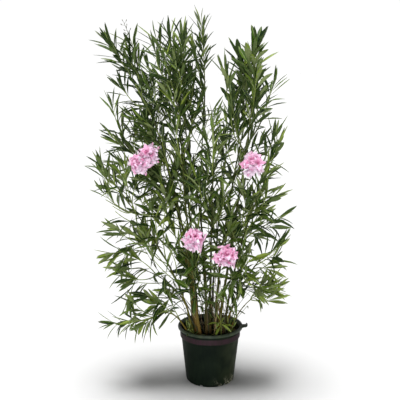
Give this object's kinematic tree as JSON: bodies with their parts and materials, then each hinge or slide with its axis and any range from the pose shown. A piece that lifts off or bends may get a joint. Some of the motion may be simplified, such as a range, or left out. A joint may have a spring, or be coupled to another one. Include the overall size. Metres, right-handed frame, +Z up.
{
  "type": "potted oleander",
  "caption": "Tall bushy oleander with slender canes, whorls of narrow leaves and clusters of pink double flowers, growing in a round dark green nursery pot.",
  "frame": {"origin": "centre of the pot's flat underside", "axes": "+Z up, -Y towards the viewer of the plant's fuller side, +X to that viewer's right"},
  "size_m": [0.942, 0.5353, 1.712],
  "materials": {
    "pot_plastic": "satin, slightly scuffed",
    "band_plastic": "matt",
    "compost": "loose crumbs and dry leaf litter",
    "bark": "smooth green-brown bark",
    "leaves": "leathery leaf",
    "petals": "soft, thin petals"
  },
  "bodies": {
    "root": {"pot": "pot_plastic", "pot_band": "band_plastic", "compost": "compost", "cane_front_tall": "bark", "cane_left_bud": "bark", "cane_left_drooping": "bark", "cane_left_high": "bark", "cane_left_low": "bark", "cane_left_wide": "bark", "cane_mid": "bark", "cane_mid_left": "bark", "cane_mid_rear": "bark", "cane_rear": "bark", "cane_right_high": "bark", "cane_right_low": "bark", "cane_right_mid": "bark", "cane_right_rear": "bark", "cane_right_wide": "bark", "cane_tallest": "bark", "bough_left_arm": "bark", "bough_left_low_upper": "bark", "bough_right_arm": "bark", "bough_right_rear_arm": "bark", "leaves_front": "leaves", "leaves_front_left": "leaves", "leaves_front_right": "leaves", "leaves_front_tall": "leaves", "leaves_left_arm": "leaves", "leaves_left_bud": "leaves", "leaves_left_drooping": "leaves", "leaves_left_high": "leaves", "leaves_left_inner": "leaves", "leaves_left_knee": "leaves", "leaves_left_low": "leaves", "leaves_left_low_upper": "leaves", "leaves_left_shoulder": "leaves", "leaves_left_skirt": "leaves", "leaves_left_thicket": "leaves", "leaves_left_wide": "leaves", "leaves_left_wing": "leaves", "leaves_mid": "leaves", "leaves_mid_left": "leaves", "leaves_mid_rear": "leaves", "leaves_mid_shoulder": "leaves", "leaves_rear": "leaves", "leaves_rear_left": "leaves", "leaves_rear_low": "leaves", "leaves_rear_skirt": "leaves", "leaves_right_arm": "leaves", "leaves_right_back": "leaves", "leaves_right_high": "leaves", "leaves_right_inner": "leaves", "leaves_right_low": "leaves", "leaves_right_mid": "leaves", "leaves_right_rear": "leaves", "leaves_right_rear_arm": "leaves", "leaves_right_skirt": "leaves", "leaves_right_wide": "leaves", "leaves_right_wing": "leaves", "leaves_tallest": "leaves"}
  },
  "joints": []
}
